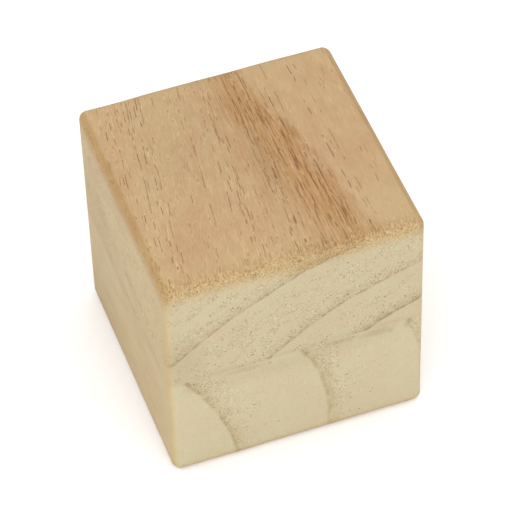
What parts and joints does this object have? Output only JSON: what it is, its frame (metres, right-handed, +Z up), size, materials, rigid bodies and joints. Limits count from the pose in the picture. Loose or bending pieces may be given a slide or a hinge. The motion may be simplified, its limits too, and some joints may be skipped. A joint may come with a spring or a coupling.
{
  "type": "wooden cube",
  "caption": "Plain sanded hardwood cube glued up from boards laid face to face, with lightly rounded edges, for blocking, propping or craft work.",
  "frame": {"origin": "centre of the face the cube rests on", "axes": "+Z up, square to the glued boards; the grain of both boards runs along Y, so the end grain faces -Y and +Y"},
  "size_m": [0.05, 0.05, 0.05],
  "materials": {
    "lower_board": "matte",
    "upper_board": "matte"
  },
  "bodies": {
    "root": {"lower_board": "lower_board", "upper_board": "upper_board"}
  },
  "joints": []
}
